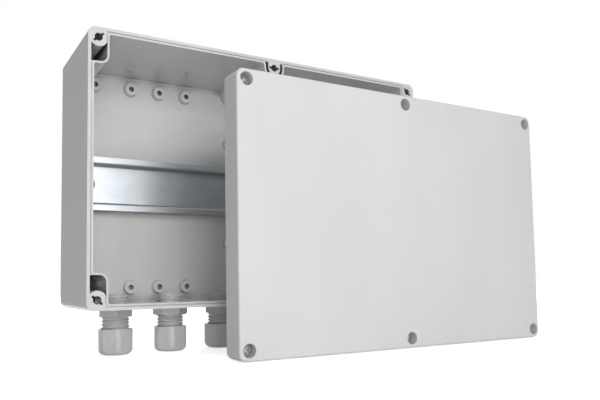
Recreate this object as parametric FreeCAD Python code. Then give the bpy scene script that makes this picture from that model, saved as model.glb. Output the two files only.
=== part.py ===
import FreeCAD, Part
import math
import os

# Wall-mounted terminal enclosure with a top-hat rail, a screwed lid shown lifted off, and cable glands.
# Millimetres. The back plane is y = 0, the open front faces -Y, +X is right and +Z is up.
# The origin is the centre of the four wall holes, on the back plane.

# Overall size
BASE_WIDTH = 240.0
BASE_HEIGHT = 160.0
BASE_DEPTH = 74.0
LID_DEPTH = 16.0
CORNER_RADIUS = 4.6
BACK_EDGE_RADIUS = 3.5
BACK_WALL = 3.0

# Rim of the base, from the outside inwards: rim, groove, sealing lip
RIM_WIDTH = 1.8
GROOVE_WIDTH = 0.6
LIP_WIDTH = 1.1
GROOVE_DEPTH = 1.6

# Sealed inner space and the blocks that stand in its corners and at mid-length
INNER_RADIUS = 1.2
SHARP_RADIUS = 0.3
BLOCK_RADIUS = 5.0
CORNER_BLOCK_WIDTH = 12.0
CORNER_BLOCK_HEIGHT = 20.9
MIDDLE_BLOCK_RADIUS = 7.4
CAVITY_EDGE_RADIUS = 1.2

# Screw columns of the base and their bayonet sockets
SCREW_INSET = 5.9
COLUMN_RADIUS = 5.3
MIDDLE_COLUMN_RADIUS = 4.4
MIDDLE_RELIEF_DEPTH = 9.0
SOCKET_BORE = 4.6
SOCKET_DEPTH = 22.0
KEY_SLOT_LENGTH = 7.4
KEY_SLOT_WIDTH = 1.4
KEY_PLATE = 1.9
CHAMBER_DIAMETER = 7.4
CHAMBER_DEPTH = 12.0
CORNER_SLOT_ANGLE = 40.0

# Wall-screw pockets beside the corner columns
POCKET_FLOOR = 6.0
WALL_HOLE_DIAMETER = 4.6
WALL_HOLE_INSET_X = 6.5
WALL_HOLE_INSET_Z = 15.0

# Bosses on the back wall
BOSS_PITCH = 20.0
BOSS_COUNT = 4
BOSS_FIRST_INSET = 20.5
BOSS_SECOND_INSET = 45.0
BOSS_EDGE_INSET = 12.0
MIDDLE_BOSS_RISE = 37.0
BOSS_HEIGHT = 4.0
BOSS_FOOT_RADIUS = 4.6
BOSS_TOP_RADIUS = 4.15
BOSS_PILOT_DIAMETER = 3.6
BOSS_PILOT_DEPTH = 5.4

# Rail of 35 mm with two screws
RAIL_HEIGHT = 35.0
RAIL_DEPTH = 7.5
RAIL_THICKNESS = 1.0
RAIL_CHANNEL = 27.0
RAIL_BEND_RADIUS = 0.8
RAIL_END_GAP = 8.0
RAIL_SCREW_INSET = 8.0
RAIL_HOLE_DIAMETER = 4.6
RAIL_BOSS_RADIUS = 5.0
RAIL_SCREW_HEAD_DIAMETER = 8.0
RAIL_SCREW_HEAD_HEIGHT = 2.7
RAIL_SCREW_HEAD_ROUNDING = 1.6
RAIL_SCREW_DIAMETER = 3.5
RAIL_SCREW_LENGTH = 6.0
RAIL_RECESS_SPAN = 4.4
RAIL_RECESS_WIDTH = 0.9
RAIL_RECESS_DEPTH = 1.6

# Lid
LID_PLATE = 3.0
LID_FACE_RADIUS = 1.4
LID_RIB_WIDTH = 1.2
GASKET_WIDTH = 2.4
GASKET_DEPTH = 2.6
GASKET_CLEARANCE = 0.2
LID_POCKET_DEPTH = 11.0
LID_CLOSED_GAP = 0.1

# Where the lifted-off lid stands, measured from its closed place
LID_SHIFT_X = 68.5
LID_SHIFT_Y = -32.3
LID_SHIFT_Z = -27.8

# Captive lid screws
WELL_DIAMETER = 7.8
WELL_FLOOR = 2.0
LUG_RECESS_DEPTH = 2.0
LID_SCREW_HEAD_DIAMETER = 7.2
LID_SCREW_HEAD_HEIGHT = 2.2
LID_SCREW_HEAD_CHAMFER = 0.4
LID_SCREW_DIAMETER = 4.2
LID_SCREW_TRAVEL = 4.0
LUG_SPAN = 6.8
LUG_WIDTH = 1.1
LUG_HEIGHT = 1.2
LUG_TIP = 0.4
TIP_SETBACK = 0.2
DRIVE_SPAN = 5.2
DRIVE_WIDTH = 1.1
DRIVE_DEPTH = 1.3
O_RING_SECTION = 0.9

# Cable glands
GLAND_COUNT_PER_SIDE = 3
GLAND_FIRST_INSET = 26.2
GLAND_MIDDLE_GAP = 46.8
GLAND_DEPTH_PLACE = 37.0
ENTRY_DIAMETER = 15.9
ENTRY_LENGTH = 8.2
ENTRY_CHAMFER = 0.5
GLAND_BORE = 10.0
FLANGE_FLATS = 19.0
FLANGE_HEIGHT = 5.5
CAP_THREAD_DIAMETER = 16.9
CAP_THREAD_PITCH = 2.0
CAP_THREAD_HEIGHT = 0.8
CAP_THREAD_LENGTH = 12.4
CAP_THREAD_START = 0.4
CAP_THREAD_CREST_START = 0.8
CAP_THREAD_CREST_END = 1.0
CAP_THREAD_RIDGE_END = 1.8
CLAW_MOUTH_DIAMETER = 12.8
CAP_FLATS = 19.4
CAP_CORNER_DIAMETER = 21.0
CAP_LENGTH = 15.7
CAP_END_RADIUS = 4.2
CAP_THREAD_PLAY = 0.2
CAP_HOLE_DIAMETER = 9.4
CAP_HOLE_CHAMFER = 0.6
CAP_SHOULDER_RISE = 4.0
CAP_NOSE_WALL = 2.2
VISIBLE_THREAD = 7.1
CLAW_WALL = 1.1
CLAW_LENGTH = 11.0
CLAW_SLITS = 8
CLAW_SLIT_WIDTH = 0.8
CLAW_SLIT_LENGTH = 5.0
CLAW_CHAMFER = 0.8
SEAL_BORE = 8.4
SEAL_LENGTH = 8.5
SEAL_START = 1.0
SEAL_CHAMFER = 0.6

# Fits
RUNNING_GAP = 0.3
SHAFT_GAP = 0.06
THREAD_GAP = 0.05

# How far cutting shapes reach past a face, and how deep joined shapes reach into each other
OVERCUT = 1.0
OVERLAP = 0.5
TOUCH = 1e-6

# Derived places
WALL = RIM_WIDTH + GROOVE_WIDTH + LIP_WIDTH
POCKET_RADIUS = BLOCK_RADIUS - LIP_WIDTH
HALF_WIDTH = BASE_WIDTH / 2
HALF_HEIGHT = BASE_HEIGHT / 2
FRONT = -BASE_DEPTH
CAVITY_BACK = -BACK_WALL
SCREW_X = HALF_WIDTH - SCREW_INSET
SCREW_Z = HALF_HEIGHT - SCREW_INSET
LID_MATE = FRONT - LID_CLOSED_GAP
LID_FRONT = LID_MATE - LID_DEPTH
LID_SHIFT = FreeCAD.Vector(LID_SHIFT_X, LID_SHIFT_Y, LID_SHIFT_Z)
RAIL_LENGTH = BASE_WIDTH - 2 * RAIL_END_GAP
GLAND_STEPS = 2 * (GLAND_COUNT_PER_SIDE - 1)
GLAND_PITCH = (BASE_WIDTH - 2 * GLAND_FIRST_INSET - GLAND_MIDDLE_GAP) / GLAND_STEPS
FLANGE_TOP = -HALF_HEIGHT
FLANGE_BOTTOM = FLANGE_TOP - FLANGE_HEIGHT
STUB_END = FLANGE_BOTTOM - CAP_THREAD_LENGTH
CAP_TOP = FLANGE_BOTTOM - VISIBLE_THREAD
CAP_BOTTOM = CAP_TOP - CAP_LENGTH
CLAW_RADIUS = CLAW_MOUTH_DIAMETER / 2 - RUNNING_GAP
CLAW_BOTTOM = CAP_BOTTOM + CAP_NOSE_WALL + RUNNING_GAP
CLAW_TOP = CLAW_BOTTOM + CLAW_LENGTH
SEAL_RADIUS = CLAW_RADIUS - CLAW_WALL

# Turn of each gland's hexagons, in degrees, as they were left when screwed in
GLAND_TURNS = [19.0, 42.0, 5.0, 50.0, 12.0, 34.0]
CAP_TURNS = [24.0, 17.0, 42.0, 33.0, 8.0, 51.0]

SCREW_PLACES = {
    "top_left": (-SCREW_X, SCREW_Z, CORNER_SLOT_ANGLE),
    "top_middle": (0.0, SCREW_Z, 0.0),
    "top_right": (SCREW_X, SCREW_Z, -CORNER_SLOT_ANGLE),
    "bottom_left": (-SCREW_X, -SCREW_Z, -CORNER_SLOT_ANGLE),
    "bottom_middle": (0.0, -SCREW_Z, 0.0),
    "bottom_right": (SCREW_X, -SCREW_Z, CORNER_SLOT_ANGLE),
}
Y_AXIS = FreeCAD.Vector(0, 1, 0)
Z_AXIS = FreeCAD.Vector(0, 0, 1)


def rounded_wire(corners, place):
    """Closed wire through corners (a, b, radius), with an arc at each; place maps (a, b) to 3D."""
    edges = []
    starts = []
    count = len(corners)
    for index, (a, b, radius) in enumerate(corners):
        before = corners[index - 1]
        after = corners[(index + 1) % count]
        here = FreeCAD.Vector(a, b, 0)
        back = (FreeCAD.Vector(before[0], before[1], 0) - here).normalize()
        ahead = (FreeCAD.Vector(after[0], after[1], 0) - here).normalize()
        half_angle = back.getAngle(ahead) / 2
        reach = radius / math.tan(half_angle)
        middle_way = (back + ahead).normalize()
        sag = radius / math.sin(half_angle) - radius
        starts.append((here + back * reach, here + middle_way * sag, here + ahead * reach, radius))
    for index, (first, middle, last, radius) in enumerate(starts):
        if radius > 0:
            edges.append(Part.Arc(place(first), place(middle), place(last)).toShape())
        following = starts[(index + 1) % count][0]
        if (following - last).Length > TOUCH:
            edges.append(Part.LineSegment(place(last), place(following)).toShape())
    return Part.Wire(edges)


def in_front_plane(y):
    """Placing function for outlines drawn as (x, z) at depth y."""
    return lambda point: FreeCAD.Vector(point.x, y, point.y)


def prism(corners, y_start, y_end):
    """Solid between two depths with the outline given by its corners in x and z."""
    face = Part.Face(rounded_wire(corners, in_front_plane(y_start)))
    return face.extrude(FreeCAD.Vector(0, y_end - y_start, 0))


def rectangle(x_low, x_high, z_low, z_high, radius):
    return [
        (x_low, z_low, radius),
        (x_high, z_low, radius),
        (x_high, z_high, radius),
        (x_low, z_high, radius),
    ]


def rod_y(x, z, radius, y_start, y_end):
    return Part.makeCylinder(radius, y_end - y_start, FreeCAD.Vector(x, y_start, z), Y_AXIS)


def rod_z(x, y, radius, z_start, z_end):
    return Part.makeCylinder(radius, z_end - z_start, FreeCAD.Vector(x, y, z_start), Z_AXIS)


def bar_y(x, z, length, width, angle, y_start, y_end):
    """Straight bar across the point (x, z), turned by angle in the front plane."""
    bar = Part.makeBox(length, y_end - y_start, width, FreeCAD.Vector(-length / 2, y_start, -width / 2))
    bar.rotate(FreeCAD.Vector(0, 0, 0), Y_AXIS, -angle)
    bar.translate(FreeCAD.Vector(x, 0, z))
    return bar


def sealed_outline(grow, turn_out=None):
    """Corners of the sealed space, notched at each corner and at mid-length, moved outwards by grow.

    The outward corners are rounded by turn_out, or else in step with grow.
    """
    outer_x = HALF_WIDTH - WALL + grow
    outer_z = HALF_HEIGHT - WALL + grow
    notch_x = HALF_WIDTH - CORNER_BLOCK_WIDTH + grow
    notch_z = HALF_HEIGHT - CORNER_BLOCK_HEIGHT + grow
    middle_radius = MIDDLE_BLOCK_RADIUS - grow
    middle_z = SCREW_Z - middle_radius
    turn_out = turn_out or max(INNER_RADIUS + grow, SHARP_RADIUS)
    turn_in = BLOCK_RADIUS - grow
    top = [
        (outer_x, notch_z, turn_out),
        (notch_x, notch_z, turn_in),
        (notch_x, outer_z, turn_out),
        (middle_radius, outer_z, turn_out),
        (middle_radius, middle_z, middle_radius),
    ]
    half = top + [(-x, z, radius) for x, z, radius in reversed(top)]
    return half + [(x, -z, radius) for x, z, radius in reversed(half)]


def at_screws(make):
    """One shape fused from make(x, z, slot angle) at every lid-screw place."""
    shapes = [make(x, z, angle) for x, z, angle in SCREW_PLACES.values()]
    return shapes[0].multiFuse(shapes[1:])


def corner_signs():
    return [(-1, 1), (1, 1), (-1, -1), (1, -1)]


def corner_pocket(x_sign, z_sign, y_start, y_end, column_radius):
    """Pocket between the outer wall, the sealing lip and the screw column of one corner."""
    x_outer = x_sign * (HALF_WIDTH - RIM_WIDTH)
    x_inner = x_sign * (HALF_WIDTH - CORNER_BLOCK_WIDTH + LIP_WIDTH)
    z_outer = z_sign * SCREW_Z
    z_inner = z_sign * (HALF_HEIGHT - CORNER_BLOCK_HEIGHT + LIP_WIDTH)
    x_low, x_high = sorted((x_outer, x_inner))
    z_low, z_high = sorted((z_outer, z_inner))
    corners = [
        (x, z, POCKET_RADIUS if (x, z) == (x_inner, z_inner) else 0.0)
        for x, z in ((x_low, z_low), (x_high, z_low), (x_high, z_high), (x_low, z_high))
    ]
    pocket = prism(corners, y_start, y_end)
    column = rod_y(x_sign * SCREW_X, z_sign * SCREW_Z, column_radius, y_start - OVERCUT, y_end + OVERCUT)
    return pocket.cut(column)


def middle_relief(z_sign, y_start, y_end):
    """Narrow moat between the middle screw column and the lip that runs round it."""
    half = MIDDLE_BLOCK_RADIUS - LIP_WIDTH
    z_outer = z_sign * (HALF_HEIGHT - WALL + LIP_WIDTH)
    z_inner = z_sign * (SCREW_Z - half)
    z_low, z_high = sorted((z_outer, z_inner))
    outline = [
        (x, z, half if z == z_inner else 0.0)
        for x, z in ((-half, z_low), (half, z_low), (half, z_high), (-half, z_high))
    ]
    moat = prism(outline, y_start, y_end)
    stem_outline = rectangle(
        -MIDDLE_COLUMN_RADIUS, MIDDLE_COLUMN_RADIUS, *sorted((z_sign * SCREW_Z, z_sign * HALF_HEIGHT)), 0.0
    )
    stem = prism(stem_outline, y_start - OVERCUT, y_end + OVERCUT)
    column = rod_y(0, z_sign * SCREW_Z, MIDDLE_COLUMN_RADIUS, y_start - OVERCUT, y_end + OVERCUT)
    return moat.cut(stem.fuse(column))


def boss_places():
    """Centres of the back-wall bosses, in two rows, mirrored about the middle."""
    steps = [HALF_WIDTH - BOSS_SECOND_INSET - BOSS_PITCH * index for index in range(BOSS_COUNT - 1)]
    steps.append(HALF_WIDTH - BOSS_FIRST_INSET)
    columns = [-x for x in steps] + steps
    row = HALF_HEIGHT - BOSS_EDGE_INSET
    middle = [(0.0, MIDDLE_BOSS_RISE), (0.0, -MIDDLE_BOSS_RISE)]
    return [(x, z) for z in (row, -row) for x in columns] + middle


def rail_screw_places():
    inset = RAIL_LENGTH / 2 - RAIL_SCREW_INSET
    return [(-inset, 0.0), (inset, 0.0)]


def gland_places():
    """Centres of the glands in x and y, mirrored about the middle."""
    steps = [HALF_WIDTH - GLAND_FIRST_INSET - GLAND_PITCH * index for index in range(GLAND_COUNT_PER_SIDE)]
    row = [-x for x in steps] + list(reversed(steps))
    return [(x, FRONT + GLAND_DEPTH_PLACE) for x in row]


def make_base():
    shell = prism(rectangle(-HALF_WIDTH, HALF_WIDTH, -HALF_HEIGHT, HALF_HEIGHT, CORNER_RADIUS), FRONT, 0)
    back_edges = [edge for edge in shell.Edges if edge.BoundBox.YMin > -TOUCH]
    shell = shell.makeFillet(BACK_EDGE_RADIUS, back_edges)

    cavity = prism(sealed_outline(0.0), FRONT - OVERCUT, CAVITY_BACK)
    floor_edges = [edge for edge in cavity.Edges if edge.BoundBox.YMin > CAVITY_BACK - TOUCH]
    cavity = cavity.makeFillet(CAVITY_EDGE_RADIUS, floor_edges)
    shell = shell.cut(cavity)

    groove_outline = sealed_outline(LIP_WIDTH + GROOVE_WIDTH, SHARP_RADIUS)
    groove_outer = prism(groove_outline, FRONT - OVERCUT, FRONT + GROOVE_DEPTH)
    groove_inner = prism(sealed_outline(LIP_WIDTH), FRONT - 2 * OVERCUT, FRONT + GROOVE_DEPTH + OVERCUT)
    cuts = [groove_outer.cut(groove_inner)]
    for x_sign, z_sign in corner_signs():
        cuts.append(corner_pocket(x_sign, z_sign, FRONT - OVERCUT, -POCKET_FLOOR, COLUMN_RADIUS))
        hole_x = x_sign * (HALF_WIDTH - WALL_HOLE_INSET_X)
        hole_z = z_sign * (HALF_HEIGHT - WALL_HOLE_INSET_Z)
        cuts.append(rod_y(hole_x, hole_z, WALL_HOLE_DIAMETER / 2, -POCKET_FLOOR - OVERCUT, OVERCUT))
    for z_sign in (1, -1):
        cuts.append(middle_relief(z_sign, FRONT - OVERCUT, FRONT + MIDDLE_RELIEF_DEPTH))
    plate_back = FRONT + KEY_PLATE
    front_side = FRONT - OVERCUT
    slot_end = plate_back + OVERLAP
    cuts.append(at_screws(lambda x, z, angle: rod_y(x, z, SOCKET_BORE / 2, front_side, FRONT + SOCKET_DEPTH)))
    cuts.append(at_screws(
        lambda x, z, angle: bar_y(x, z, KEY_SLOT_LENGTH, KEY_SLOT_WIDTH, angle, front_side, slot_end)
    ))
    cuts.append(at_screws(
        lambda x, z, angle: rod_y(x, z, CHAMBER_DIAMETER / 2, plate_back, plate_back + CHAMBER_DEPTH)
    ))
    entry_radius = ENTRY_DIAMETER / 2 + THREAD_GAP
    for x, y in gland_places():
        cuts.append(rod_z(x, y, entry_radius, -HALF_HEIGHT - OVERCUT, -HALF_HEIGHT + WALL + OVERCUT))
    shell = shell.cut(cuts)

    bosses = []
    pilots = []
    boss_front = CAVITY_BACK - BOSS_HEIGHT
    pilot_end = boss_front + BOSS_PILOT_DEPTH
    for x, z in boss_places():
        foot = FreeCAD.Vector(x, CAVITY_BACK + OVERLAP, z)
        bosses.append(Part.makeCone(BOSS_FOOT_RADIUS, BOSS_TOP_RADIUS, BOSS_HEIGHT + OVERLAP, foot, -Y_AXIS))
        pilots.append(rod_y(x, z, BOSS_PILOT_DIAMETER / 2, boss_front - OVERCUT, pilot_end))
    for x, z in rail_screw_places():
        bosses.append(rod_y(x, z, RAIL_BOSS_RADIUS, boss_front, CAVITY_BACK + OVERLAP))
        pilot_radius = RAIL_SCREW_DIAMETER / 2 + THREAD_GAP
        pilots.append(rod_y(x, z, pilot_radius, boss_front - OVERCUT, pilot_end))
    return shell.fuse(bosses).cut(pilots).removeSplitter()


def make_lid():
    block = prism(
        rectangle(-HALF_WIDTH, HALF_WIDTH, -HALF_HEIGHT, HALF_HEIGHT, CORNER_RADIUS), LID_FRONT, LID_MATE
    )
    face_edges = [edge for edge in block.Edges if edge.BoundBox.YMax < LID_FRONT + TOUCH]
    block = block.makeFillet(LID_FACE_RADIUS, face_edges)

    channel_in = LIP_WIDTH / 2 - GASKET_WIDTH / 2
    cuts = [prism(sealed_outline(channel_in - LID_RIB_WIDTH), LID_FRONT + LID_PLATE, LID_MATE + OVERCUT)]
    cuts.append(gasket_ring(GASKET_WIDTH, LID_MATE - GASKET_DEPTH, LID_MATE + OVERCUT))
    for x_sign, z_sign in corner_signs():
        cuts.append(lid_corner_pocket(x_sign, z_sign))
    well_floor = LID_MATE - LUG_RECESS_DEPTH - WELL_FLOOR
    well_start = LID_FRONT - OVERCUT
    cuts.append(at_screws(lambda x, z, angle: rod_y(x, z, WELL_DIAMETER / 2, well_start, well_floor)))
    hole_radius = LID_SCREW_DIAMETER / 2 + RUNNING_GAP
    cuts.append(at_screws(lambda x, z, angle: rod_y(x, z, hole_radius, LID_FRONT, LID_MATE + OVERCUT)))
    recess_radius = LUG_SPAN / 2 + RUNNING_GAP
    recess_start = LID_MATE - LUG_RECESS_DEPTH
    cuts.append(at_screws(lambda x, z, angle: rod_y(x, z, recess_radius, recess_start, LID_MATE + OVERCUT)))
    return block.cut(cuts).removeSplitter()


def lid_corner_pocket(x_sign, z_sign):
    """Hollow in the mating side of the lid that saves plastic beside a corner screw well."""
    channel_out = LIP_WIDTH / 2 + GASKET_WIDTH / 2
    x_outer = x_sign * (HALF_WIDTH - RIM_WIDTH)
    x_inner = x_sign * (HALF_WIDTH - CORNER_BLOCK_WIDTH + channel_out + LID_RIB_WIDTH)
    z_outer = z_sign * SCREW_Z
    z_inner = z_sign * (HALF_HEIGHT - CORNER_BLOCK_HEIGHT + channel_out + LID_RIB_WIDTH)
    x_low, x_high = sorted((x_outer, x_inner))
    z_low, z_high = sorted((z_outer, z_inner))
    outline = rectangle(x_low, x_high, z_low, z_high, 0.0)
    pocket = prism(outline, LID_MATE - LID_POCKET_DEPTH, LID_MATE + OVERCUT)
    column_radius = COLUMN_RADIUS + LID_RIB_WIDTH / 2
    column = rod_y(x_sign * SCREW_X, z_sign * SCREW_Z, column_radius, LID_FRONT, LID_MATE + 2 * OVERCUT)
    return pocket.cut(column)


def gasket_ring(width, y_start, y_end):
    """Ring that follows the sealing lip, centred on it."""
    middle = LIP_WIDTH / 2
    outer = prism(sealed_outline(middle + width / 2), y_start, y_end)
    inner = prism(sealed_outline(middle - width / 2), y_start - OVERCUT, y_end + OVERCUT)
    return outer.cut(inner)


def make_gasket():
    return gasket_ring(GASKET_WIDTH, LID_MATE - GASKET_DEPTH, LID_MATE - GASKET_CLEARANCE)


def lid_screw_places():
    """Depths shared by the lid screws and their O-rings: the tip and the front of the ring."""
    tip = LID_MATE - TIP_SETBACK
    seat = LID_MATE - LUG_RECESS_DEPTH - WELL_FLOOR
    ring_front = seat - O_RING_SECTION - LID_SCREW_TRAVEL
    return tip, ring_front


def make_lid_screw(x, z, angle):
    tip, ring_front = lid_screw_places()
    head_back = ring_front - SHAFT_GAP
    head_front = head_back - LID_SCREW_HEAD_HEIGHT
    head = rod_y(x, z, LID_SCREW_HEAD_DIAMETER / 2, head_front, head_back)
    rim = [edge for edge in head.Edges if edge.BoundBox.YMax < head_front + TOUCH]
    head = head.makeChamfer(LID_SCREW_HEAD_CHAMFER, rim)
    shank = rod_y(x, z, LID_SCREW_DIAMETER / 2, head_back - OVERLAP, tip)
    end = [edge for edge in shank.Edges if edge.BoundBox.YMin > tip - TOUCH]
    shank = shank.makeChamfer(LUG_TIP, end)
    lugs = bar_y(x, z, LUG_SPAN, LUG_WIDTH, angle, tip - LUG_TIP - LUG_HEIGHT, tip - LUG_TIP)
    lugs = lugs.common(rod_y(x, z, LUG_SPAN / 2, head_front, tip))
    drive_start = head_front - OVERCUT
    drive_end = head_front + DRIVE_DEPTH
    drive = bar_y(x, z, DRIVE_SPAN, DRIVE_WIDTH, angle, drive_start, drive_end)
    cross = bar_y(x, z, DRIVE_SPAN, DRIVE_WIDTH, angle + 90, drive_start, drive_end)
    return head.fuse([shank, lugs]).cut([drive, cross]).removeSplitter()


def make_o_ring(x, z, angle):
    ring_front = lid_screw_places()[1]
    section = O_RING_SECTION / 2
    centre_radius = LID_SCREW_DIAMETER / 2 + SHAFT_GAP + section
    middle = FreeCAD.Vector(x, ring_front + section, z)
    return Part.makeTorus(centre_radius, section, middle, Y_AXIS)


def make_rail():
    """Top-hat rail, its channel open to the front and its web on the bosses of the back wall."""
    back = CAVITY_BACK - BOSS_HEIGHT
    front = back - RAIL_DEPTH
    brim = RAIL_HEIGHT / 2
    leg = RAIL_CHANNEL / 2
    thick = RAIL_THICKNESS
    outer = RAIL_BEND_RADIUS + thick
    inner = RAIL_BEND_RADIUS
    upper = [
        (front, brim, 0.0),
        (front, leg - thick, outer),
        (back - thick, leg - thick, inner),
    ]
    lower = [(y, -z, radius) for y, z, radius in reversed(upper)]
    behind = [
        (back, -leg, outer),
        (front + thick, -leg, inner),
        (front + thick, -brim, 0.0),
    ]
    behind_up = [(y, -z, radius) for y, z, radius in reversed(behind)]
    outline = upper + lower + list(reversed(behind)) + list(reversed(behind_up))
    start = -RAIL_LENGTH / 2
    wire = rounded_wire(outline, lambda point: FreeCAD.Vector(start, point.x, point.y))
    rail = Part.Face(wire).extrude(FreeCAD.Vector(RAIL_LENGTH, 0, 0))
    hole_radius = RAIL_HOLE_DIAMETER / 2
    holes = [rod_y(x, z, hole_radius, back - 2 * thick, back + OVERCUT) for x, z in rail_screw_places()]
    return rail.cut(holes)


def make_rail_screws():
    """Two pan-head screws that hold the rail on its bosses."""
    seat = CAVITY_BACK - BOSS_HEIGHT - RAIL_THICKNESS
    front = seat - RAIL_SCREW_HEAD_HEIGHT
    screws = []
    for x, z in rail_screw_places():
        head = rod_y(x, z, RAIL_SCREW_HEAD_DIAMETER / 2, front, seat)
        rim = [edge for edge in head.Edges if edge.BoundBox.YMax < front + TOUCH]
        head = head.makeFillet(RAIL_SCREW_HEAD_ROUNDING, rim)
        shank = rod_y(x, z, RAIL_SCREW_DIAMETER / 2, seat - OVERLAP, seat + RAIL_SCREW_LENGTH)
        drive = [
            bar_y(x, z, RAIL_RECESS_SPAN, RAIL_RECESS_WIDTH, turn, front - OVERCUT, front + RAIL_RECESS_DEPTH)
            for turn in (0, 90)
        ]
        screws.append(head.fuse(shank).cut(drive))
    return Part.makeCompound(screws)


def turned(x, y, profile):
    """Solid of revolution about the vertical line at (x, y), from corners (radius, height)."""
    points = [FreeCAD.Vector(x + radius, y, z) for radius, z in profile]
    face = Part.Face(Part.makePolygon(points + [points[0]]))
    return face.revolve(FreeCAD.Vector(x, y, 0), Z_AXIS, 360)


def hexagon_bar(x, y, flats, turn, z_start, z_end):
    radius = flats / 2 / math.cos(math.pi / 6)
    points = [
        FreeCAD.Vector(
            x + radius * math.cos(math.radians(turn + 60 * index)),
            y + radius * math.sin(math.radians(turn + 60 * index)),
            z_start,
        )
        for index in range(6)
    ]
    face = Part.Face(Part.makePolygon(points + [points[0]]))
    return face.extrude(FreeCAD.Vector(0, 0, z_end - z_start))


def make_gland_body(x, y, turn):
    """Entry thread, hexagon flange and threaded stub, with a bore that widens into the claw's mouth."""
    crest = CAP_THREAD_DIAMETER / 2
    root = crest - CAP_THREAD_HEIGHT
    entry = ENTRY_DIAMETER / 2
    bore = GLAND_BORE / 2
    mouth = CLAW_MOUTH_DIAMETER / 2
    entry_end = FLANGE_TOP + ENTRY_LENGTH
    mouth_end = STUB_END + CLAW_LENGTH + CAP_THREAD_PITCH
    profile = [(bore, entry_end), (entry - ENTRY_CHAMFER, entry_end), (entry, entry_end - ENTRY_CHAMFER)]
    profile += [(entry, FLANGE_TOP), (root, FLANGE_TOP), (root, FLANGE_BOTTOM)]
    ridges = int((CAP_THREAD_LENGTH - CAP_THREAD_START) / CAP_THREAD_PITCH)
    for index in range(ridges):
        ridge_top = FLANGE_BOTTOM - CAP_THREAD_START - CAP_THREAD_PITCH * index
        profile.append((root, ridge_top))
        profile.append((crest, ridge_top - CAP_THREAD_CREST_START))
        profile.append((crest, ridge_top - CAP_THREAD_CREST_END))
        profile.append((root, ridge_top - CAP_THREAD_RIDGE_END))
    profile += [(root, STUB_END), (mouth, STUB_END), (mouth, mouth_end), (bore, mouth_end + mouth - bore)]
    body = turned(x, y, profile)
    corner = FLANGE_FLATS / 2 / math.cos(math.pi / 6)
    flange = hexagon_bar(x, y, FLANGE_FLATS, turn, FLANGE_BOTTOM, FLANGE_TOP)
    chamfer = corner - FLANGE_FLATS / 2
    bevel = turned(x, y, [
        (0, FLANGE_TOP), (corner, FLANGE_TOP), (corner, FLANGE_BOTTOM + chamfer / 2),
        (corner - chamfer, FLANGE_BOTTOM), (0, FLANGE_BOTTOM),
    ])
    hollow = rod_z(x, y, (root + mouth) / 2, FLANGE_BOTTOM - OVERCUT, FLANGE_TOP + OVERCUT)
    return body.fuse(flange.common(bevel).cut(hollow)).removeSplitter()


def make_gland_cap(x, y, turn):
    """Cap nut: hexagon with rounded lower end, threaded bore and a nose with the cable hole."""
    corner = CAP_CORNER_DIAMETER / 2
    reach = corner - CAP_END_RADIUS
    bend = CAP_END_RADIUS
    middle = bend * math.sqrt(0.5)
    arc = Part.Arc(
        FreeCAD.Vector(x + reach, y, CAP_BOTTOM),
        FreeCAD.Vector(x + reach + middle, y, CAP_BOTTOM + bend - middle),
        FreeCAD.Vector(x + corner, y, CAP_BOTTOM + bend),
    ).toShape()
    corners = [(corner, CAP_BOTTOM + bend), (corner, CAP_TOP), (0, CAP_TOP)]
    corners += [(0, CAP_BOTTOM), (reach, CAP_BOTTOM)]
    points = [FreeCAD.Vector(x + radius, y, z) for radius, z in corners]
    lines = [Part.LineSegment(points[index], points[index + 1]).toShape() for index in range(len(points) - 1)]
    outline = Part.Wire(Part.__sortEdges__(lines + [arc]))
    shape = Part.Face(outline).revolve(FreeCAD.Vector(x, y, 0), Z_AXIS, 360)
    shape = shape.common(hexagon_bar(x, y, CAP_FLATS, turn, CAP_BOTTOM, CAP_TOP))
    bore = CAP_THREAD_DIAMETER / 2 + CAP_THREAD_PLAY
    shoulder = CLAW_BOTTOM + CAP_SHOULDER_RISE
    hole = CAP_HOLE_DIAMETER / 2
    seat = CLAW_RADIUS + RUNNING_GAP
    inside = turned(x, y, [
        (0, CAP_TOP + OVERCUT), (bore, CAP_TOP + OVERCUT), (bore, shoulder), (seat, CLAW_BOTTOM + OVERLAP),
        (seat, CLAW_BOTTOM - RUNNING_GAP), (hole, CLAW_BOTTOM - RUNNING_GAP),
        (hole, CAP_BOTTOM + CAP_HOLE_CHAMFER), (hole + CAP_HOLE_CHAMFER, CAP_BOTTOM),
        (hole + CAP_HOLE_CHAMFER, CAP_BOTTOM - OVERCUT), (0, CAP_BOTTOM - OVERCUT),
    ])
    return shape.cut(inside)


def make_gland_claw(x, y, turn):
    """Clamping insert: a short tube whose lower half is slit into fingers."""
    inner = SEAL_RADIUS + SHAFT_GAP
    tube = turned(x, y, [
        (inner, CLAW_BOTTOM), (CLAW_RADIUS - CLAW_CHAMFER, CLAW_BOTTOM),
        (CLAW_RADIUS, CLAW_BOTTOM + CLAW_CHAMFER), (CLAW_RADIUS, CLAW_TOP), (inner, CLAW_TOP),
    ])
    slits = []
    for index in range(CLAW_SLITS):
        slit = Part.makeBox(
            CLAW_RADIUS + OVERCUT, CLAW_SLIT_WIDTH, CLAW_SLIT_LENGTH + OVERCUT,
            FreeCAD.Vector(0, -CLAW_SLIT_WIDTH / 2, CLAW_BOTTOM - OVERCUT),
        )
        slit.rotate(FreeCAD.Vector(0, 0, 0), Z_AXIS, turn + 360 / CLAW_SLITS * index)
        slit.translate(FreeCAD.Vector(x, y, 0))
        slits.append(slit)
    return tube.cut(slits)


def make_gland_seal(x, y):
    """Rubber sleeve inside the clamping insert."""
    bottom = CLAW_BOTTOM + SEAL_START
    bore = SEAL_BORE / 2
    top = bottom + SEAL_LENGTH
    return turned(x, y, [
        (bore + SEAL_CHAMFER, bottom), (SEAL_RADIUS, bottom), (SEAL_RADIUS, top), (bore, top),
        (bore, bottom + SEAL_CHAMFER),
    ])


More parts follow.
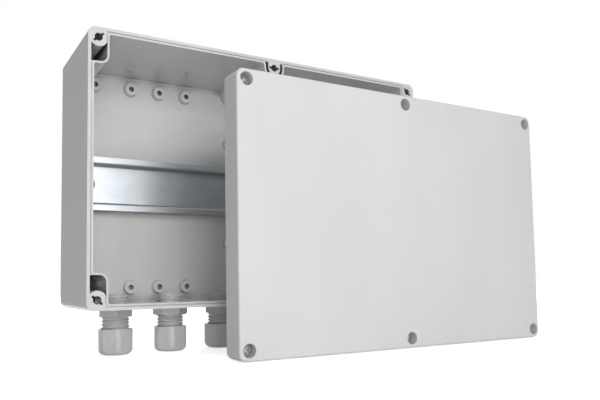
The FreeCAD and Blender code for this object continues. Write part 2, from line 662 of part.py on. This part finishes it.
def make_all():
    nodes = {"base": make_base(), "din_rail": make_rail(), "rail_screws": make_rail_screws()}
    lid_pieces = {"lid": make_lid(), "lid_gasket": make_gasket()}
    for name, (x, z, angle) in SCREW_PLACES.items():
        lid_pieces["lid_screw_" + name] = make_lid_screw(x, z, angle)
        lid_pieces["o_ring_" + name] = make_o_ring(x, z, angle)
    for name, shape in lid_pieces.items():
        shape.translate(LID_SHIFT)
        nodes[name] = shape
    for index, (x, y) in enumerate(gland_places()):
        number = str(index + 1)
        nodes["gland_body_" + number] = make_gland_body(x, y, GLAND_TURNS[index % len(GLAND_TURNS)])
        cap_turn = CAP_TURNS[index % len(CAP_TURNS)]
        nodes["gland_claw_" + number] = make_gland_claw(x, y, cap_turn)
        nodes["gland_seal_" + number] = make_gland_seal(x, y)
        nodes["gland_cap_" + number] = make_gland_cap(x, y, cap_turn)
    return nodes


os.makedirs("parts", exist_ok=True)
for node_name, node_shape in make_all().items():
    node_shape.exportStep("parts/" + node_name + ".step")
    print(node_name, len(node_shape.Solids), node_shape.isValid(), round(node_shape.Volume, 2))
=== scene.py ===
"""Looks of a wall-mounted terminal enclosure with a top-hat rail, cable glands and its lid lifted off."""
import math
import bpy
import bmesh
from mathutils import Matrix, Vector


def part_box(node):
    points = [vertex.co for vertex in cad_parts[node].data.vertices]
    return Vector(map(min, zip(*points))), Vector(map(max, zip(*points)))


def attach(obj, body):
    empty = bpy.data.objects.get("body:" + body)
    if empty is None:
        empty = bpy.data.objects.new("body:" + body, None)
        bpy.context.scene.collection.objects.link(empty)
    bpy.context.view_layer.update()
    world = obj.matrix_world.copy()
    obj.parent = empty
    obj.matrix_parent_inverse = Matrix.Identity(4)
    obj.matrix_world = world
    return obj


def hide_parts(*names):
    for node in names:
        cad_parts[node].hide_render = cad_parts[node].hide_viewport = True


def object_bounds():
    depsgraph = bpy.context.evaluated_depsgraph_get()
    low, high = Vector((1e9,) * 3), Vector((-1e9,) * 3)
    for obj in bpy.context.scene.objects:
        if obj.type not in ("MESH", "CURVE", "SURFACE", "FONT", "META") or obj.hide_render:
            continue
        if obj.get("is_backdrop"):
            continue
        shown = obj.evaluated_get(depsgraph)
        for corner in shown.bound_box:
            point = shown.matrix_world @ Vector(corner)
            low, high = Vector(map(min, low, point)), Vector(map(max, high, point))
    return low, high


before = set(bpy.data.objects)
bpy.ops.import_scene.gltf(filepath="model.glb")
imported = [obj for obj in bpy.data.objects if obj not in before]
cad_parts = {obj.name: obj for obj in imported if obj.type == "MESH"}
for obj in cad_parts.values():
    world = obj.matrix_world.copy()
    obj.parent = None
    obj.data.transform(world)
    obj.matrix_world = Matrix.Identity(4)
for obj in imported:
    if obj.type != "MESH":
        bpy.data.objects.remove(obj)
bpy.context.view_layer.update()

# All sizes and places below are in millimetres, unless their comment says otherwise
MM = 0.001

# Camera of the photograph, in the enclosure's own frame: angles in degrees, shifts in widths of the sensor
CAMERA_PLACE = (-199.33, -419.32, -64.24)
CAMERA_TURN = 29.8916
CAMERA_TILT = 4.1636
CAMERA_ROLL = -0.8463
CAMERA_LENS = 37.2923
SENSOR_WIDTH = 36.0
CAMERA_SHIFT_X = 0.04058
CAMERA_SHIFT_Y = 0.05735
CAMERA_NEAREST = 10.0

# Inside of the base: its faces lie within these distances from the middle and between these depths, and the
# face of the back wall lies behind the last one
INSIDE_X = 119.0
INSIDE_Z = 79.0
INSIDE_FRONT = -73.9
INSIDE_BACK = -1.0
BACK_WALL_FRONT = -3.5

# Rim groove beside the sealing lip: the depth of its floor in the solid, which is shown 0.5 mm below the rim
GROOVE_FLOOR = -72.4
GROOVE_RISE = -1.1
GROOVE_TOLERANCE = 0.05

# Round marks of the four ejector pins on the back wall; a real seam is 0.05 mm wide and wouldn't show
PIN_X = 97.0
PIN_Z = 54.0
PIN_RADIUS = 4.5
PIN_SEAM = 0.5

# Painted shade darkens what lies this near to a facing wall: it is darkest where less than the first share
# of the sky is open, and there is none where more than the second share is
PAINTED_SHADE_REACH = 7.0
FULL_SHADE_SKY = 0.3
NO_SHADE_SKY = 0.72

# Roughness of the moulding's three surfaces: spark-eroded outside, polished sides and duller end of the core
ERODED_ROUGHNESS = 0.72
CORE_SIDE_ROUGHNESS = 0.06
CORE_END_ROUGHNESS = 0.13

# Lid screws: what lies in front of this depth is darker, and what lies behind it is pale as a painted
# highlight, with an edge this soft
SCREW_FACE = -117.1
SCREW_FACE_BLUR = 0.1

# Values between which a noise pattern mostly stays, and the narrower pair between which its colours change
NOISE_LOW = 0.25
NOISE_HIGH = 0.75
TONE_LOW = 0.3
TONE_HIGH = 0.7

# Sockets of a Mix node that blends two colours
MIX_SHARE = 0
MIX_FROM = 6
MIX_TO = 7
MIX_RESULT = 2

# Cable glands: the angle in degrees at which each body has come to rest in the bottom wall, and their sizes
GLAND_TURNS = (19.0, 42.0, 5.0, 50.0, 12.0, 34.0)
ENTRY_CREST = 7.95
ENTRY_ROOT = 7.1
ENTRY_PITCH = 1.5
FLANGE_FLATS = 19.0
FLANGE_HEIGHT = 5.5
CAP_THREAD_CREST = 8.45
CAP_THREAD_ROOT = 7.55
CAP_THREAD_PITCH = 2.0
CAP_THREAD_RUNOUT = 1.2
GLAND_BORE = 5.0
CLAW_MOUTH = 6.4
CLAW_MOUTH_DEPTH = 13.0
EDGE_BREAK = 0.25

# Thread profile over one pitch: share of the pitch, and share of the thread's height
THREAD_PROFILE = ((0.0, 0.0), (0.12, 0.0), (0.42, 1.0), (0.58, 1.0), (0.88, 0.0))

# Meshes of the glands: points round each ring, welding distances, and the sharpest smooth edge in degrees
RING_POINTS = 96
WELD_REACH = 0.002
SLIVER = 0.001
SMOOTH_EDGE = 32

# Floor and surroundings: the floor's width and the distances between which its glow rises are in metres
FLOOR_SIZE = 8.0
FLOOR_WHITE = "#F4F4F2"
FLOOR_GLOW_NEAR = 0.68
FLOOR_GLOW_FAR = 0.97
FLOOR_GLOW_START = 0.25
FLOOR_GLOW_END = 1.4
STUDIO_GREY = "#F6F4EF"
STUDIO_LEVEL = 0.17
WHITE = "#FFFFFF"

# Square lamps: name, degrees to the right of straight in front, degrees up, metres away, metres wide, watts
SOFT_BOXES = (
    ("key_light", -12, 8, 0.8, 0.4, 2.65),
    ("left_light", -25, 8, 0.8, 0.4, 1.1),
    ("top_light", 0, 88, 1.7, 0.9, 6.5),
    ("right_light", 100, 20, 1.7, 0.9, 7.0),
    ("back_light", 165, 25, 1.7, 0.9, 10.0),
)


def linear(hex_colour):
    """Linear colour, with full alpha, of an sRGB hex value such as #D8D8D6."""
    parts = [int(hex_colour[index:index + 2], 16) / 255 for index in (1, 3, 5)]
    return [part / 12.92 if part <= 0.04045 else ((part + 0.055) / 1.055) ** 2.4 for part in parts] + [1.0]


def add_node(tree, kind, settings=None, links=None):
    """New shader node; settings are its properties or input values, and links feed its inputs."""
    node = tree.nodes.new(kind)
    for name, value in (settings or {}).items():
        if isinstance(name, str) and hasattr(node, name):
            setattr(node, name, value)
        else:
            node.inputs[name].default_value = value
    for name, source in (links or {}).items():
        tree.links.new(source, node.inputs[name])
    return node


def new_finish(name):
    """Empty node material, its tree and its surface shader."""
    finish = bpy.data.materials.new(name)
    finish.use_nodes = True
    tree = finish.node_tree
    tree.nodes.clear()
    shader = add_node(tree, "ShaderNodeBsdfPrincipled")
    add_node(tree, "ShaderNodeOutputMaterial", links={"Surface": shader.outputs["BSDF"]})
    return finish, tree, shader


def two_tone(tree, pattern, dark, light, low=TONE_LOW, high=TONE_HIGH):
    """Colour that changes from a dark to a light hex tone as a pattern goes from low to high."""
    share = add_node(tree, "ShaderNodeMapRange", {"From Min": low, "From Max": high}, {"Value": pattern})
    colour = add_node(tree, "ShaderNodeMix", {
        "data_type": "RGBA", MIX_FROM: linear(dark), MIX_TO: linear(light),
    }, {MIX_SHARE: share.outputs["Result"]})
    return colour.outputs[MIX_RESULT]


def inside_of_base(tree, place):
    """Two shares, 1 or 0: the polished faces inside the base, and the back wall among them."""
    axes = add_node(tree, "ShaderNodeSeparateXYZ", links={"Vector": place})
    shares = []
    for axis, low, high in (
        ("X", -INSIDE_X, INSIDE_X),
        ("Z", -INSIDE_Z, INSIDE_Z),
        ("Y", INSIDE_FRONT, INSIDE_BACK),
        ("Y", BACK_WALL_FRONT, INSIDE_BACK),
    ):
        between = add_node(tree, "ShaderNodeMath", {
            "operation": "COMPARE", 1: (low + high) / 2 * MM, 2: (high - low) / 2 * MM,
        }, {0: axes.outputs[axis]})
        shares.append(between.outputs[0])
    across, upward, inward, back_wall = shares
    column = add_node(tree, "ShaderNodeMath", {"operation": "MULTIPLY"}, {0: across, 1: upward})
    polished = add_node(tree, "ShaderNodeMath", {"operation": "MULTIPLY"}, {0: column.outputs[0], 1: inward})
    return polished.outputs[0], back_wall


def ejector_pin_marks(tree, place, back_wall):
    """1 on the rings that four ejector pins left on the back wall, else 0."""
    folded = add_node(tree, "ShaderNodeVectorMath", {"operation": "ABSOLUTE"}, {0: place})
    flat = add_node(tree, "ShaderNodeVectorMath", {"operation": "MULTIPLY", 1: (1.0, 0.0, 1.0)}, {
        0: folded.outputs["Vector"],
    })
    away = add_node(tree, "ShaderNodeVectorMath", {
        "operation": "DISTANCE", 1: (PIN_X * MM, 0.0, PIN_Z * MM),
    }, {0: flat.outputs["Vector"]})
    seam = add_node(tree, "ShaderNodeMath", {
        "operation": "COMPARE", 1: PIN_RADIUS * MM, 2: PIN_SEAM / 2 * MM,
    }, {0: away.outputs["Value"]})
    marks = add_node(tree, "ShaderNodeMath", {"operation": "MULTIPLY"}, {0: seam.outputs[0], 1: back_wall})
    return marks.outputs[0]


def moulded_polycarbonate():
    """Injection-moulded light grey polycarbonate: spark-eroded grain outside, polished inside the base."""
    finish, tree, shader = new_finish("moulded_polycarbonate")
    place = add_node(tree, "ShaderNodeTexCoord").outputs["Object"]
    # Slow flow clouds, about 45 mm wide and longer upwards, as the melt ran
    cloud_place = add_node(tree, "ShaderNodeVectorMath", {
        "operation": "DIVIDE", 1: (45 * MM, 45 * MM, 110 * MM),
    }, {0: place})
    cloud = add_node(tree, "ShaderNodeTexNoise", {"Scale": 1.0, "Detail": 3.0}, {
        "Vector": cloud_place.outputs["Vector"],
    })
    # The plastic's own colour, and a much darker copy of it that is painted shade
    unshaded = two_tone(tree, cloud.outputs["Fac"], "#D5D5D6", "#DBDBDC")
    painted_shade = two_tone(tree, cloud.outputs["Fac"], "#868685", "#8D8D8C")
    # Painted shade darkens the pockets, sockets and steps, and round the bosses
    open_sky = add_node(tree, "ShaderNodeAmbientOcclusion", {
        "samples": 8, "only_local": True, "Distance": PAINTED_SHADE_REACH * MM,
    })
    unshaded_share = add_node(tree, "ShaderNodeMapRange", {"From Min": FULL_SHADE_SKY, "From Max": NO_SHADE_SKY}, {
        "Value": open_sky.outputs["AO"],
    })
    colour = add_node(tree, "ShaderNodeMix", {"data_type": "RGBA"}, {
        MIX_SHARE: unshaded_share.outputs["Result"], MIX_FROM: painted_shade, MIX_TO: unshaded,
    })
    polished, back_wall = inside_of_base(tree, place)
    # A shallow ring round each ejector pin
    pins = add_node(tree, "ShaderNodeBump", {"Strength": 0.4, "Distance": 0.2 * MM}, {
        "Height": ejector_pin_marks(tree, place, back_wall),
    })
    # Grain of a spark-eroded mould, drawn at 0.5 mm so that it shows, where the real one is 0.1 mm
    grain = add_node(tree, "ShaderNodeTexNoise", {"Scale": 1 / (0.5 * MM), "Detail": 2.0}, {"Vector": place})
    grain_strength = add_node(tree, "ShaderNodeMapRange", {"To Min": 0.12, "To Max": 0.01}, {
        "Value": polished,
    })
    bump = add_node(tree, "ShaderNodeBump", {"Distance": 0.03 * MM}, {
        "Height": grain.outputs["Fac"],
        "Strength": grain_strength.outputs["Result"],
        "Normal": pins.outputs["Normal"],
    })
    # The core of the mould is polished on its sides, along the way it draws, and a little less on its end
    core = add_node(tree, "ShaderNodeMapRange", {
        "To Min": CORE_SIDE_ROUGHNESS, "To Max": CORE_END_ROUGHNESS,
    }, {"Value": back_wall})
    satin = add_node(tree, "ShaderNodeMapRange", {"To Min": ERODED_ROUGHNESS}, {
        "Value": polished, "To Max": core.outputs["Result"],
    })
    streaks = add_node(tree, "ShaderNodeMapRange", {
        "From Min": NOISE_LOW, "From Max": NOISE_HIGH, "To Min": -0.03, "To Max": 0.03,
    }, {"Value": cloud.outputs["Fac"]})
    roughness = add_node(tree, "ShaderNodeMath", {"operation": "ADD"}, {
        0: satin.outputs["Result"], 1: streaks.outputs["Result"],
    })
    shader.inputs["IOR"].default_value = 1.55
    tree.links.new(colour.outputs[MIX_RESULT], shader.inputs["Base Color"])
    tree.links.new(roughness.outputs[0], shader.inputs["Roughness"])
    tree.links.new(bump.outputs["Normal"], shader.inputs["Normal"])
    return finish


def foamed_polyurethane():
    """Foamed-in-place polyurethane bead: dark, dull, with open pores."""
    finish, tree, shader = new_finish("foamed_polyurethane")
    place = add_node(tree, "ShaderNodeTexCoord").outputs["Object"]
    # Pores about 0.4 mm wide
    pores = add_node(tree, "ShaderNodeTexVoronoi", {"Scale": 1 / (0.4 * MM)}, {"Vector": place})
    colour = two_tone(tree, pores.outputs["Distance"], "#2A2A2B", "#3B3C3D", low=0.1, high=0.7)
    bump = add_node(tree, "ShaderNodeBump", {"Strength": 0.5, "Distance": 0.15 * MM}, {
        "Height": pores.outputs["Distance"],
    })
    shader.inputs["Roughness"].default_value = 0.85
    tree.links.new(colour, shader.inputs["Base Color"])
    tree.links.new(bump.outputs["Normal"], shader.inputs["Normal"])
    return finish


def zinc_plated_steel():
    """Cold-rolled strip, bright zinc plated: a soft, cool mirror with rolling lines along the strip."""
    finish, tree, shader = new_finish("zinc_plated_steel")
    place = add_node(tree, "ShaderNodeTexCoord").outputs["Object"]
    # Rolling lines run the length of the rail, drawn coarser than real ones, 0.6 mm apart, so that they show
    line_place = add_node(tree, "ShaderNodeVectorMath", {
        "operation": "DIVIDE", 1: (60 * MM, 0.6 * MM, 0.6 * MM),
    }, {0: place})
    lines = add_node(tree, "ShaderNodeTexNoise", {"Scale": 1.0, "Detail": 4.0}, {
        "Vector": line_place.outputs["Vector"],
    })
    # Patches of the plating, 5 to 9 mm wide, vary the tint and the gloss
    patch_place = add_node(tree, "ShaderNodeVectorMath", {
        "operation": "DIVIDE", 1: (9 * MM, 5 * MM, 5 * MM),
    }, {0: place})
    patches = add_node(tree, "ShaderNodeTexNoise", {"Scale": 1.0, "Detail": 3.0}, {
        "Vector": patch_place.outputs["Vector"],
    })
    colour = two_tone(tree, patches.outputs["Fac"], "#AEB3B7", "#B7BCC0")
    roughness = add_node(tree, "ShaderNodeMapRange", {
        "From Min": NOISE_LOW, "From Max": NOISE_HIGH, "To Min": 0.36, "To Max": 0.38,
    }, {"Value": patches.outputs["Fac"]})
    # Pimples left by the plating bath, about 2 mm apart
    specks = add_node(tree, "ShaderNodeTexVoronoi", {"Scale": 1 / (2.2 * MM)}, {"Vector": place})
    pimples = add_node(tree, "ShaderNodeMapRange", {"From Min": 0.1, "From Max": 0.0}, {
        "Value": specks.outputs["Distance"],
    })
    rolled = add_node(tree, "ShaderNodeBump", {"Strength": 0.06, "Distance": 0.02 * MM}, {
        "Height": lines.outputs["Fac"],
    })
    bump = add_node(tree, "ShaderNodeBump", {"Strength": 0.35, "Distance": 0.1 * MM}, {
        "Height": pimples.outputs["Result"], "Normal": rolled.outputs["Normal"],
    })
    shader.inputs["Metallic"].default_value = 1.0
    tree.links.new(colour, shader.inputs["Base Color"])
    tree.links.new(roughness.outputs["Result"], shader.inputs["Roughness"])
    tree.links.new(bump.outputs["Normal"], shader.inputs["Normal"])
    return finish


def moulded_polyamide():
    """Moulded polyamide of the glands: slightly oily gloss over a faint mottle, with shallow orange peel."""
    finish, tree, shader = new_finish("moulded_polyamide")
    place = add_node(tree, "ShaderNodeTexCoord").outputs["Object"]
    # Mottle 3 mm wide, a little longer along the gland
    mottle_place = add_node(tree, "ShaderNodeVectorMath", {
        "operation": "DIVIDE", 1: (3 * MM, 3 * MM, 5 * MM),
    }, {0: place})
    mottle = add_node(tree, "ShaderNodeTexNoise", {"Scale": 1.0, "Detail": 3.0}, {
        "Vector": mottle_place.outputs["Vector"],
    })
    colour = two_tone(tree, mottle.outputs["Fac"], "#C0C2C1", "#CACBCA")
    roughness = add_node(tree, "ShaderNodeMapRange", {
        "From Min": NOISE_LOW, "From Max": NOISE_HIGH, "To Min": 0.34, "To Max": 0.44,
    }, {"Value": mottle.outputs["Fac"]})
    # Orange peel with waves of 0.8 mm
    peel = add_node(tree, "ShaderNodeTexNoise", {"Scale": 1 / (0.8 * MM), "Detail": 1.0}, {"Vector": place})
    bump = add_node(tree, "ShaderNodeBump", {"Strength": 0.15, "Distance": 0.03 * MM}, {
        "Height": peel.outputs["Fac"],
    })
    shader.inputs["IOR"].default_value = 1.53
    tree.links.new(colour, shader.inputs["Base Color"])
    tree.links.new(roughness.outputs["Result"], shader.inputs["Roughness"])
    tree.links.new(bump.outputs["Normal"], shader.inputs["Normal"])
    return finish


def polyamide_with_painted_highlight():
    """Glass-filled polyamide of the lid screws: glossy, with a darker face and a cross recess pale as a
    painted highlight.
    """
    finish, tree, shader = new_finish("polyamide_with_painted_highlight")
    place = add_node(tree, "ShaderNodeTexCoord").outputs["Object"]
    # Mottle of the glass fibres, drawn 1.2 mm wide so that it shows
    mottle = add_node(tree, "ShaderNodeTexNoise", {"Scale": 1 / (1.2 * MM), "Detail": 3.0}, {
        "Vector": place,
    })
    face = two_tone(tree, mottle.outputs["Fac"], "#7E8081", "#949697")
    # Painted highlight: the recess and all behind the face are pale, standing in for light that the recess
    # walls reflect
    pale_recess_highlight = two_tone(tree, mottle.outputs["Fac"], "#CBCCCA", "#D6D7D5")
    depth = add_node(tree, "ShaderNodeSeparateXYZ", links={"Vector": place})
    behind_face = add_node(tree, "ShaderNodeMapRange", {
        "From Min": (SCREW_FACE - SCREW_FACE_BLUR) * MM, "From Max": (SCREW_FACE + SCREW_FACE_BLUR) * MM,
    }, {"Value": depth.outputs["Y"]})
    colour = add_node(tree, "ShaderNodeMix", {"data_type": "RGBA"}, {
        MIX_SHARE: behind_face.outputs["Result"], MIX_FROM: face, MIX_TO: pale_recess_highlight,
    })
    roughness = add_node(tree, "ShaderNodeMapRange", {
        "From Min": NOISE_LOW, "From Max": NOISE_HIGH, "To Min": 0.22, "To Max": 0.32,
    }, {"Value": mottle.outputs["Fac"]})
    shader.inputs["IOR"].default_value = 1.53
    tree.links.new(colour.outputs[MIX_RESULT], shader.inputs["Base Color"])
    tree.links.new(roughness.outputs["Result"], shader.inputs["Roughness"])
    return finish


def black_rubber():
    """Moulded nitrile rubber: near black, matt, with a greyish bloom in patches."""
    finish, tree, shader = new_finish("black_rubber")
    place = add_node(tree, "ShaderNodeTexCoord").outputs["Object"]
    # Patches of bloom, 2.5 mm wide
    bloom = add_node(tree, "ShaderNodeTexNoise", {"Scale": 1 / (2.5 * MM), "Detail": 4.0}, {"Vector": place})
    colour = two_tone(tree, bloom.outputs["Fac"], "#1B1B1C", "#2C2C2D", low=0.35, high=0.75)
    roughness = add_node(tree, "ShaderNodeMapRange", {
        "From Min": NOISE_LOW, "From Max": NOISE_HIGH, "To Min": 0.5, "To Max": 0.68,
    }, {"Value": bloom.outputs["Fac"]})
    tree.links.new(colour, shader.inputs["Base Color"])
    tree.links.new(roughness.outputs["Result"], shader.inputs["Roughness"])
    return finish


def put_in_scene(name, data):
    """New object in the scene that holds a mesh, lamp or camera."""
    item = bpy.data.objects.new(name, data)
    bpy.context.scene.collection.objects.link(item)
    return item


def base_with_shallow_groove():
    """The base, with the floor of its rim groove brought up to 0.5 mm below the rim."""
    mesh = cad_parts["base"].data.copy()
    for corner in mesh.vertices:
        if abs(corner.co.y - GROOVE_FLOOR * MM) < GROOVE_TOLERANCE * MM:
            corner.co.y += GROOVE_RISE * MM
    return put_in_scene("base_moulding", mesh)


def around(centre, turn, radius_at, height_at):
    """Points of one turn about a vertical line; radius and height are functions of the angle."""
    row = []
    for index in range(RING_POINTS + 1):
        angle = turn + 2 * math.pi * (index % RING_POINTS) / RING_POINTS
        radius = radius_at(angle)
        x = centre.x + radius * math.cos(angle)
        y = centre.y + radius * math.sin(angle)
        row.append((x, y, height_at(angle)))
    return row


def ring(centre, turn, radius, height):
    """Points of a level circle about a vertical line."""
    return around(centre, turn, lambda angle: radius, lambda angle: height)


def screw_thread(centre, turn, low, high, root, crest, pitch, lead_low, lead_high):
    """Right-hand thread between two heights, fading into its root over a lead-in at each end."""
    rows = []
    # Laps beyond either end are pressed flat onto it, so that the skin reaches both ends all round
    last_lap = int((high - low) / pitch) + 2
    for lap in range(-2, last_lap + 1):
        for share, rise in THREAD_PROFILE:
            row = []
            for index in range(RING_POINTS + 1):
                angle = turn + 2 * math.pi * index / RING_POINTS
                climb = low + pitch * (lap + share + index / RING_POINTS)
                height = min(max(climb, low), high)
                fade = min(1.0, (height - low) / lead_low, (high - height) / lead_high)
                radius = root + (crest - root) * rise * fade
                x = centre.x + radius * math.cos(angle)
                y = centre.y + radius * math.sin(angle)
                row.append((x, y, height))
            rows.append(row)
    return rows


def weld(name, sheets):
    """One closed mesh from sheets of points, each a list of rows that are joined to a skin."""
    shape = bmesh.new()
    for rows in sheets:
        points = [[shape.verts.new(point) for point in row] for row in rows]
        for lower, upper in zip(points, points[1:]):
            for index in range(len(lower) - 1):
                shape.faces.new((lower[index], lower[index + 1], upper[index + 1], upper[index]))
    bmesh.ops.remove_doubles(shape, verts=shape.verts, dist=WELD_REACH * MM)
    bmesh.ops.dissolve_degenerate(shape, edges=shape.edges, dist=SLIVER * MM)
    bmesh.ops.recalc_face_normals(shape, faces=shape.faces)
    mesh = bpy.data.meshes.new(name)
    shape.to_mesh(mesh)
    shape.free()
    mesh.shade_smooth()
    mesh.set_sharp_from_angle(angle=math.radians(SMOOTH_EDGE))
    return mesh


def threaded_gland_body(number):
    """Gland body: metric entry thread, hexagon flange and the stub with the coarse thread of the cap nut."""
    name = f"gland_thread_body_{number}"
    low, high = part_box(f"gland_body_{number}")
    centre = (low + high) / 2
    turn = math.radians(GLAND_TURNS[number - 1])
    flange_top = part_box("base")[0].z
    flange_bottom = flange_top - FLANGE_HEIGHT * MM
    flats = FLANGE_FLATS / 2 * MM
    entry_root, entry_crest = ENTRY_ROOT * MM, ENTRY_CREST * MM
    cap_root, cap_crest = CAP_THREAD_ROOT * MM, CAP_THREAD_CREST * MM
    bore, mouth = GLAND_BORE * MM, CLAW_MOUTH * MM
    mouth_end = low.z + CLAW_MOUTH_DEPTH * MM
    edge = EDGE_BREAK * MM

    def hexagon(angle):
        return flats / math.cos((angle - turn) % (math.pi / 3) - math.pi / 6)

    def bevelled_foot(angle):
        return flange_bottom + (hexagon(angle) - flats) / 2

    entry = screw_thread(
        centre, turn, flange_top, high.z,
        entry_root, entry_crest, ENTRY_PITCH * MM, edge, ENTRY_PITCH * MM
    )
    flange = [
        ring(centre, turn, entry_root, flange_top),
        around(centre, turn, lambda angle: hexagon(angle) - edge, lambda angle: flange_top),
        around(centre, turn, hexagon, lambda angle: flange_top - edge),
        around(centre, turn, hexagon, bevelled_foot),
        ring(centre, turn, flats, flange_bottom),
        ring(centre, turn, cap_root, flange_bottom),
    ]
    stub = screw_thread(
        centre, turn, low.z, flange_bottom,
        cap_root, cap_crest, CAP_THREAD_PITCH * MM, CAP_THREAD_PITCH * MM, CAP_THREAD_RUNOUT * MM
    )
    inside = [
        ring(centre, turn, cap_root, low.z),
        ring(centre, turn, mouth + edge, low.z),
        ring(centre, turn, mouth, low.z + edge),
        ring(centre, turn, mouth, mouth_end),
        ring(centre, turn, bore, mouth_end + mouth - bore),
        ring(centre, turn, bore, high.z - edge),
        ring(centre, turn, bore + edge, high.z),
        ring(centre, turn, entry_root, high.z),
    ]
    return put_in_scene(name, weld(name, [entry, flange, stub, inside]))


def seen_white(tree):
    """1 for straight looks, reflections and looks through glass, and 0 for what lights the object."""
    sight = add_node(tree, "ShaderNodeLightPath")
    direct = add_node(tree, "ShaderNodeMath", {"operation": "MAXIMUM"}, {
        0: sight.outputs["Is Camera Ray"], 1: sight.outputs["Is Glossy Ray"],
    })
    seen = add_node(tree, "ShaderNodeMath", {"operation": "MAXIMUM"}, {
        0: direct.outputs[0], 1: sight.outputs["Is Transmission Ray"],
    })
    return seen.outputs[0]


def painted_floor():
    """Matt white paint that the camera sees lit up to white, less so near the object and its shadow."""
    finish = bpy.data.materials.new("studio_floor")
    finish.use_nodes = True
    tree = finish.node_tree
    tree.nodes.clear()
    paint = add_node(tree, "ShaderNodeBsdfDiffuse", {"Color": linear(FLOOR_WHITE)})
    # The lamps light the floor less far out, where it glows more, so that it looks even
    place = add_node(tree, "ShaderNodeTexCoord").outputs["Object"]
    far_out = add_node(tree, "ShaderNodeVectorMath", {"operation": "LENGTH"}, {0: place})
    rising = add_node(tree, "ShaderNodeMapRange", {
        "From Min": FLOOR_GLOW_START, "From Max": FLOOR_GLOW_END,
        "To Min": FLOOR_GLOW_NEAR, "To Max": FLOOR_GLOW_FAR,
    }, {"Value": far_out.outputs["Value"]})
    level = add_node(tree, "ShaderNodeMath", {"operation": "MULTIPLY"}, {
        0: seen_white(tree), 1: rising.outputs["Result"],
    })
    glow = add_node(tree, "ShaderNodeEmission", {"Color": linear(WHITE)}, {"Strength": level.outputs[0]})
    both = add_node(tree, "ShaderNodeAddShader", links={
        0: paint.outputs["BSDF"], 1: glow.outputs["Emission"],
    })
    add_node(tree, "ShaderNodeOutputMaterial", links={"Surface": both.outputs["Shader"]})
    return finish


def studio_floor():
    """Pale floor at the lowest point of the object."""
    reach = FLOOR_SIZE / 2
    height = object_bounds()[0].z
    mesh = bpy.data.meshes.new("studio_floor")
    corners = [
        (-reach, -reach, height), (reach, -reach, height),
        (reach, reach, height), (-reach, reach, height),
    ]
    mesh.from_pydata(corners, [], [(0, 1, 2, 3)])
    mesh.materials.append(painted_floor())
    floor = put_in_scene("studio_floor", mesh)
    floor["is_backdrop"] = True


def studio_walls():
    """Even grey light from all round, where straight looks and reflections see white."""
    world = bpy.data.worlds.new("studio_walls")
    world.use_nodes = True
    tree = world.node_tree
    tree.nodes.clear()
    room = add_node(tree, "ShaderNodeBackground", {"Color": linear(STUDIO_GREY), "Strength": STUDIO_LEVEL})
    white = add_node(tree, "ShaderNodeBackground", {"Color": linear(WHITE), "Strength": 1.0})
    both = add_node(tree, "ShaderNodeMixShader", links={
        0: seen_white(tree), 1: room.outputs["Background"], 2: white.outputs["Background"],
    })
    add_node(tree, "ShaderNodeOutputWorld", links={"Surface": both.outputs["Shader"]})
    bpy.context.scene.world = world


def soft_box(name, azimuth, height, distance, size, watts):
    """Square lamp aimed at the middle of the object; the camera doesn't see it."""
    low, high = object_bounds()
    turn, rise = math.radians(azimuth), math.radians(height)
    away = Vector((math.sin(turn) * math.cos(rise), -math.cos(turn) * math.cos(rise), math.sin(rise)))
    lamp = bpy.data.lights.new(name, "AREA")
    lamp.size = size
    lamp.energy = watts
    holder = put_in_scene(name, lamp)
    holder.location = (low + high) / 2 + away * distance
    holder.rotation_euler = (-away).to_track_quat("-Z", "Y").to_euler()
    holder.visible_camera = False


def photo_camera():
    """Camera at the photograph's place and angle."""
    view = bpy.data.cameras.new("photo_camera")
    view.lens = CAMERA_LENS
    view.sensor_width = SENSOR_WIDTH
    view.sensor_fit = "HORIZONTAL"
    view.shift_x = CAMERA_SHIFT_X
    view.shift_y = CAMERA_SHIFT_Y
    view.clip_start = CAMERA_NEAREST * MM
    holder = put_in_scene("photo_camera", view)
    turn = Matrix.Rotation(math.radians(-CAMERA_TURN), 4, "Z")
    tilt = Matrix.Rotation(math.radians(90 + CAMERA_TILT), 4, "X")
    roll = Matrix.Rotation(math.radians(CAMERA_ROLL), 4, "Z")
    holder.matrix_world = Matrix.Translation(Vector(CAMERA_PLACE) * MM) @ turn @ tilt @ roll
    bpy.context.scene.camera = holder


photo_camera()
bpy.context.scene.view_settings.view_transform = "Standard"

FINISHES = {
    "polycarbonate_light_grey": moulded_polycarbonate(),
    "foamed_seal": foamed_polyurethane(),
    "zinc_plated_steel": zinc_plated_steel(),
    "zinc_plated_screw": zinc_plated_steel(),
    "polyamide_screw": polyamide_with_painted_highlight(),
    "polyamide_gland": moulded_polyamide(),
    "black_rubber": black_rubber(),
}
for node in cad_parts.values():
    for slot in node.material_slots:
        slot.material = FINISHES[slot.material.name.split(".")[0]]

for number in range(1, len(GLAND_TURNS) + 1):
    body = threaded_gland_body(number)
    body.data.materials.append(FINISHES["polyamide_gland"])
    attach(body, "base")
    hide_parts(f"gland_body_{number}")

base_moulding = base_with_shallow_groove()
for slot in base_moulding.material_slots:
    slot.material = FINISHES["polycarbonate_light_grey"]
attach(base_moulding, "base")
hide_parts("base")

studio_walls()
studio_floor()
for lamp_sizes in SOFT_BOXES:
    soft_box(*lamp_sizes)
